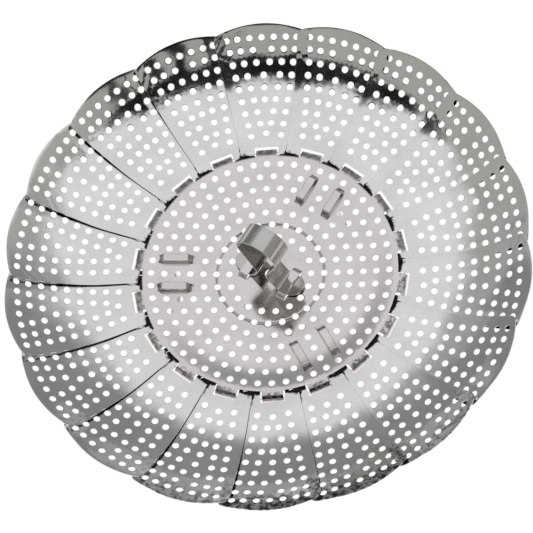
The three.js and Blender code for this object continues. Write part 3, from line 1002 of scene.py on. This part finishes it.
def handle_line():
    """The whole strip, from the end of one foot over the loop to the end of the other."""
    loop_height = HANDLE_HEIGHT - HANDLE_LOOP_RADIUS - HANDLE_SHEET / 2
    to_neck = (HANDLE_NECK[0], HANDLE_NECK[1] - loop_height)
    reach = math.hypot(*to_neck)
    touch = math.degrees(math.atan2(to_neck[1], to_neck[0]) + math.acos(HANDLE_LOOP_RADIUS / reach))
    contact = (HANDLE_LOOP_RADIUS * math.cos(math.radians(touch)),
               loop_height + HANDLE_LOOP_RADIUS * math.sin(math.radians(touch)))
    foot_end = HANDLE_BRIDGE_OFFSET + HANDLE_BRIDGE["width"] / 2 + HANDLE_WIDTH / 2

    def on_plate(u):
        return u, u ** 2 / (2 * DISH_RADIUS) + HANDLE_BEARING

    bridge_end = HANDLE_BRIDGE_OFFSET + HANDLE_BRIDGE["width"] / 2 + HANDLE_FOOT_ROOM
    raised = math.tan(math.radians(HANDLE_FOOT_RAISE)) * (foot_end - bridge_end)
    foot = (foot_end, on_plate(foot_end)[1] + raised)
    corners = [foot, on_plate(bridge_end), on_plate(HANDLE_FOOT_BEND), HANDLE_NECK, contact]
    heading, half = cornered_moves(corners, HANDLE_BENDS)
    sweep = 180 - 2 * touch
    loop = (HANDLE_LOOP_RADIUS * math.radians(sweep), sweep)
    return BentLine(corners[0], heading, half + [loop] + half[::-1])


def handle(material):
    line = handle_line()
    edge = HANDLE_EDGE
    half = HANDLE_WIDTH / 2 - edge
    total = line.length
    outline = []
    for start, middle in ((-90, total - edge - half), (90, edge + half)):
        for step in range(HANDLE_END_STEPS + 1):
            turn = math.radians(start + 180 * step / HANDLE_END_STEPS)
            outline.append((middle + half * math.cos(turn), half * math.sin(turn)))
    outline = divided(outline, HANDLE_STEP)
    side = half - HANDLE_GRID_ROOM
    low, high = (edge + half, -side), (total - edge - half, side)
    inner = [Vector((u, v)) for u, v in grid(low, high, HANDLE_PITCH)]

    def surface(u, v, at):
        x, z, _ = line.at(u)
        return Vector((x, v, z))

    metal = Metal()
    metal.sheet(outline, [], inner, surface, HANDLE_SHEET, edge)
    place = turned(BASE_AXIS - 90) @ Matrix.Translation((0, 0, PLATE_MIDDLE))
    piece = metal.made("handle_loop_strip", place, material)
    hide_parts("lifting_handle")
    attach(piece, "basket")


# Materials

# Scales of the noises are in turns per metre
CLOUD_SCALE = 60
GRAIN_SCALE = 1500
HAIR_SCALE = 120
HAIR_TURN = 0.5
HAIR_STRETCH = 30
BLOTCH_SCALE = 450
TONE_RANGE = (0.35, 0.65)
HAIR_RANGE = (0.6, 0.72)
HAZE_RANGE = (0.35, 0.75)
HAZE_ROUGHNESS = (-0.02, 0.05)
HAIR_ROUGHNESS = 0.05
GRAIN_ROUGHNESS = 0.04
GRAIN_HEIGHT = 0.4
RELIEF_DEPTH = 0.00002
# Painted shade and painted dark reflection: their colour, gain, breakup into patches and added roughness
PAINTED_SHADE_AND_REFLECTION_COLOUR = (0.03, 0.026, 0.023, 1)
PAINTED_SHADE_AND_REFLECTION_GAIN = 1.6
PAINTED_SHADE_AND_REFLECTION_PATCHES = 0.6
PAINTED_SHADE_AND_REFLECTION_ROUGHNESS = 0.4


class Nodes:
    """A node tree with short calls to add and join nodes."""

    def __init__(self, tree):
        self.tree = tree
        tree.nodes.clear()

    def add(self, kind, inputs=None, **settings):
        node = self.tree.nodes.new(kind)
        for key, value in settings.items():
            setattr(node, key, value)
        for key, value in (inputs or {}).items():
            if isinstance(value, bpy.types.NodeSocket):
                self.tree.links.new(value, node.inputs[key])
            else:
                node.inputs[key].default_value = value
        return node

    def math(self, operation, *values):
        return self.add("ShaderNodeMath", dict(enumerate(values)), operation=operation).outputs[0]

    def noise(self, place, scale, detail, roughness=0.5):
        inputs = {"Vector": place, "Scale": scale, "Detail": detail, "Roughness": roughness}
        return self.add("ShaderNodeTexNoise", inputs).outputs["Fac"]

    def mix(self, low, high, share):
        """A colour between two; each end and the share may be a value or a socket."""
        inputs = {"A": low, "B": high, "Factor": share}
        return self.add("ShaderNodeMix", inputs, data_type="RGBA").outputs["Result"]

    def ramp(self, value, low, high, start=0.0, end=1.0):
        inputs = {"Value": value, "From Min": low, "From Max": high, "To Min": start, "To Max": end}
        node = self.add("ShaderNodeMapRange", inputs, interpolation_type="SMOOTHSTEP")
        return node.outputs["Result"]


def steel(name, dark, light, roughness, bump):
    """Polished sheet steel: a faint cloudiness in its colour, fine grain, hairline scratches and haze."""
    material = bpy.data.materials.new(name)
    material.use_nodes = True
    nodes = Nodes(material.node_tree)
    place = nodes.add("ShaderNodeTexCoord").outputs["Object"]

    clouds = nodes.noise(place, CLOUD_SCALE, 5, 0.6)
    grain = nodes.noise(place, GRAIN_SCALE, 3, 0.6)
    tone = nodes.math("ADD", nodes.math("MULTIPLY", clouds, 0.5), nodes.math("MULTIPLY", grain, 0.5))
    colour = nodes.mix(dark, light, nodes.ramp(tone, *TONE_RANGE))
    blotches = nodes.noise(place, BLOTCH_SCALE, 4, 0.65)
    # Painted shade and painted dark reflection from the point attribute, broken into patches by the blotches
    painted_shade_and_reflection = nodes.add("ShaderNodeAttribute", attribute_name="painted_shade_and_reflection").outputs["Fac"]
    patchy = nodes.ramp(blotches, *TONE_RANGE, 0, PAINTED_SHADE_AND_REFLECTION_PATCHES)
    painted_shade_and_reflection = nodes.ramp(nodes.math("SUBTRACT", nodes.math("MULTIPLY", painted_shade_and_reflection, PAINTED_SHADE_AND_REFLECTION_GAIN), patchy), 0, 1)
    colour_with_painted_shade_and_reflection = nodes.mix(colour, PAINTED_SHADE_AND_REFLECTION_COLOUR, painted_shade_and_reflection)

    stretched = nodes.add("ShaderNodeMapping", {
        "Vector": place, "Rotation": (0, 0, HAIR_TURN), "Scale": (1, HAIR_STRETCH, 1)})
    hairs = nodes.noise(stretched.outputs[0], HAIR_SCALE, 4)
    scratches = nodes.ramp(hairs, *HAIR_RANGE)
    haze = nodes.ramp(clouds, *HAZE_RANGE, *(roughness + change for change in HAZE_ROUGHNESS))
    rough = nodes.math("ADD", haze, nodes.math("MULTIPLY", scratches, HAIR_ROUGHNESS))
    rough = nodes.math("ADD", rough, nodes.math("MULTIPLY", grain, GRAIN_ROUGHNESS))
    rough = nodes.math("ADD", rough, nodes.math("MULTIPLY", painted_shade_and_reflection, PAINTED_SHADE_AND_REFLECTION_ROUGHNESS))

    height = nodes.math("ADD", nodes.math("MULTIPLY", grain, GRAIN_HEIGHT), scratches)
    relief = nodes.add("ShaderNodeBump", {"Strength": bump, "Distance": RELIEF_DEPTH, "Height": height})
    shader = nodes.add("ShaderNodeBsdfPrincipled", {
        "Base Color": colour_with_painted_shade_and_reflection, "Metallic": 1.0,
        "Roughness": rough, "Normal": relief.outputs[0]})
    output = nodes.add("ShaderNodeOutputMaterial")
    nodes.tree.links.new(shader.outputs[0], output.inputs["Surface"])
    return material


# Stage

# The room that the metal reflects, by slopes from straight up: right of the middle and ahead of it
ROOM_TURN = -15.2
LOWEST_UP = 0.02
ARCH = 0.33
SOFTBOX_MIDDLE = 0.15
SOFTBOX_WIDTH = 1.0
SOFTBOX_DEPTH = 0.78
SOFTBOX_FADE = (0.72, 1.3)
SOFTBOX_EDGE = (-0.43, -0.2)
SOFTBOX_COLOUR = (0.88, 0.88, 0.89, 1)
BAND_MIDDLE = 0.44
BAND_THICKNESS = (0.2, 1.0, 0.22, 0.1)
BAND_INNER_EDGE = (0.5, 1.1, 1, 0)
BAND_OUTER_EDGE = (-1.0, -0.85)
BAND_LEFT_END = (-0.82, -0.76)
BAND_RIGHT_END = (0.74, 0.8, 1, 0)
BAND_COLOUR = (0.012, 0.012, 0.014, 1)
POSTS = ((0.2, 0.06, -0.85), (0.42, 0.06, -0.45), (0.7, 0.055, -0.45))
POST_SIDE_FADE = 0.02
POST_TOP_FADE = 0.05
FAR_DIP = (0.75, 1.3, 1, 0.66)
FAR_RISE = (2.4, 5.0, 0, 1)
ROOM_LEVEL = (0.02, 0.6, 0.4, 0.46)
ROOM_DARK = (0.0, 0.0, 0.0, 1)
NEAR_TINT = (1.03, 1.0, 0.95, 1)
FAR_TINT = (1.0, 1.0, 1.01, 1)
TINT_REACH = (0.2, 1.2)
SKYLINE = (0.0, 0.03, 1, 0)

FLOOR_REACH = 0.6
FLOOR_COLOUR = (0.8, 0.8, 0.8, 1)
FLOOR_SHADOW = (0.16, 0.16, 0.16, 1)
FLOOR_GLOW = 0.94
WHITE = (1, 1, 1, 1)

CAMERA_SENSOR = 36.0
CAMERA_LENS = 146.2
CAMERA_CLIP = (0.05, 20.0)
CAMERA_RIGHT = (0.9579, -0.2601, -0.1214)
CAMERA_AHEAD = (0, 0.4229, -0.9062)
CAMERA_PLACE = (-0.66, -409.9, 918.7)


def studio_world():
    """White behind the object; for reflections, a soft light, a dark band and posts in a warm grey room."""
    world = bpy.data.worlds.new("studio")
    bpy.context.scene.world = world
    world.use_nodes = True
    nodes = Nodes(world.node_tree)
    way = nodes.add("ShaderNodeTexCoord").outputs["Generated"]
    parts = nodes.add("ShaderNodeSeparateXYZ", {"Vector": way}).outputs
    up = nodes.math("MAXIMUM", parts["Z"], LOWEST_UP)
    across = nodes.math("DIVIDE", parts["X"], up)
    away = nodes.math("DIVIDE", parts["Y"], up)
    turn = math.radians(ROOM_TURN)
    right = nodes.math("ADD", nodes.math("MULTIPLY", across, math.cos(turn)),
                       nodes.math("MULTIPLY", away, math.sin(turn)))
    ahead = nodes.math("SUBTRACT", nodes.math("MULTIPLY", away, math.cos(turn)),
                       nodes.math("MULTIPLY", across, math.sin(turn)))

    squared = nodes.math("MULTIPLY", right, right)
    arched = nodes.math("SUBTRACT", ahead, nodes.math("MULTIPLY", squared, ARCH))
    wide = nodes.math("DIVIDE", nodes.math("SUBTRACT", right, SOFTBOX_MIDDLE), SOFTBOX_WIDTH)
    deep = nodes.math("DIVIDE", ahead, SOFTBOX_DEPTH)
    round_off = nodes.math("SQRT", nodes.math("ADD", nodes.math("MULTIPLY", wide, wide),
                                              nodes.math("MULTIPLY", deep, deep)))
    softbox = nodes.math("MULTIPLY", nodes.ramp(round_off, *SOFTBOX_FADE, 1, 0),
                         nodes.ramp(arched, *SOFTBOX_EDGE))
    thickness = nodes.ramp(nodes.math("ABSOLUTE", right), *BAND_THICKNESS)
    from_band = nodes.math("DIVIDE", nodes.math("ADD", arched, BAND_MIDDLE), thickness)
    inner_side = nodes.ramp(from_band, *BAND_INNER_EDGE)
    outer_side = nodes.ramp(from_band, *BAND_OUTER_EDGE)
    band_ends = nodes.math("MULTIPLY", nodes.ramp(right, *BAND_LEFT_END), nodes.ramp(right, *BAND_RIGHT_END))
    band = nodes.math("MULTIPLY", nodes.math("MULTIPLY", inner_side, outer_side), band_ends)
    figure = band
    for place, width, top in POSTS:
        aside = nodes.math("ABSOLUTE", nodes.math("SUBTRACT", right, place))
        post = nodes.ramp(aside, width, width + POST_SIDE_FADE, 1, 0)
        post = nodes.math("MULTIPLY", post, nodes.ramp(arched, top - POST_TOP_FADE, top, 1, 0))
        figure = nodes.math("MAXIMUM", figure, post)

    dip = nodes.math("MAXIMUM", nodes.ramp(ahead, *FAR_DIP), nodes.ramp(ahead, *FAR_RISE))
    level = nodes.math("MULTIPLY", nodes.ramp(parts["Z"], *ROOM_LEVEL), dip)
    tint = nodes.mix(NEAR_TINT, FAR_TINT, nodes.ramp(ahead, *TINT_REACH))
    room = nodes.mix(ROOM_DARK, tint, level)
    lit = nodes.mix(room, SOFTBOX_COLOUR, softbox)
    shaded = nodes.mix(lit, BAND_COLOUR, figure)

    studio = nodes.add("ShaderNodeBackground", {"Color": shaded, "Strength": 1.0})
    white = nodes.add("ShaderNodeBackground", {"Color": WHITE, "Strength": 1.0})
    ray = nodes.add("ShaderNodeLightPath").outputs
    skyline = nodes.math("MULTIPLY", ray["Is Glossy Ray"], nodes.ramp(parts["Z"], *SKYLINE))
    shown = nodes.math("MAXIMUM", ray["Is Camera Ray"], ray["Is Transmission Ray"])
    shown = nodes.math("MAXIMUM", shown, skyline)
    mixed = nodes.add("ShaderNodeMixShader", {0: shown, 1: studio.outputs[0], 2: white.outputs[0]})
    output = nodes.add("ShaderNodeOutputWorld")
    nodes.tree.links.new(mixed.outputs[0], output.inputs["Surface"])


def floor():
    """A white surface that still takes the object's shadow."""
    mesh = bpy.data.meshes.new("floor")
    reach = FLOOR_REACH
    corners = [(-reach, -reach, 0), (reach, -reach, 0), (reach, reach, 0), (-reach, reach, 0)]
    mesh.from_pydata(corners, [], [(0, 1, 2, 3)])
    material = bpy.data.materials.new("floor_white")
    material.use_nodes = True
    nodes = Nodes(material.node_tree)
    plain = nodes.add("ShaderNodeBsdfDiffuse", {"Color": FLOOR_COLOUR})
    shadow = nodes.add("ShaderNodeBsdfDiffuse", {"Color": FLOOR_SHADOW})
    glow = nodes.add("ShaderNodeEmission", {"Color": WHITE, "Strength": FLOOR_GLOW})
    bright = nodes.add("ShaderNodeAddShader", {0: shadow.outputs[0], 1: glow.outputs[0]})
    ray = nodes.add("ShaderNodeLightPath").outputs
    shown = nodes.math("MAXIMUM", ray["Is Camera Ray"], ray["Is Glossy Ray"])
    shown = nodes.math("MAXIMUM", shown, ray["Is Transmission Ray"])
    mixed = nodes.add("ShaderNodeMixShader", {0: shown, 1: plain.outputs[0], 2: bright.outputs[0]})
    output = nodes.add("ShaderNodeOutputMaterial")
    nodes.tree.links.new(mixed.outputs[0], output.inputs["Surface"])
    mesh.materials.append(material)
    piece = bpy.data.objects.new("floor", mesh)
    bpy.context.scene.collection.objects.link(piece)


def camera():
    data = bpy.data.cameras.new("photo_camera")
    data.sensor_width = CAMERA_SENSOR
    data.lens = CAMERA_LENS
    data.clip_start, data.clip_end = CAMERA_CLIP
    view = bpy.data.objects.new("photo_camera", data)
    right = Vector(CAMERA_RIGHT).normalized()
    ahead = Vector(CAMERA_AHEAD).normalized()
    up = right.cross(ahead).normalized()
    right = ahead.cross(up)
    place = Matrix((right, up, -ahead)).transposed().to_4x4()
    place.translation = Vector(CAMERA_PLACE) * MM
    view.matrix_world = place
    bpy.context.scene.collection.objects.link(view)
    bpy.context.scene.camera = view


camera()
studio_world()
floor()

plate_steel = steel("plate_steel", (0.62, 0.59, 0.59, 1), (0.73, 0.70, 0.70, 1), 0.07, 0.06)
petal_steel = steel("petal_steel", (0.66, 0.66, 0.66, 1), (0.78, 0.78, 0.77, 1), 0.08, 0.04)
leg_steel = steel("leg_steel", (0.60, 0.59, 0.58, 1), (0.68, 0.67, 0.66, 1), 0.14, 0.25)
handle_steel = steel("handle_steel", (0.48, 0.47, 0.45, 1), (0.57, 0.56, 0.54, 1), 0.11, 0.25)

plate = base_plate(plate_steel)
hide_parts("base_plate")
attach(plate, "basket")
petals(petal_steel)
legs(leg_steel)
handle(handle_steel)

bpy.context.scene.view_settings.view_transform = "Standard"
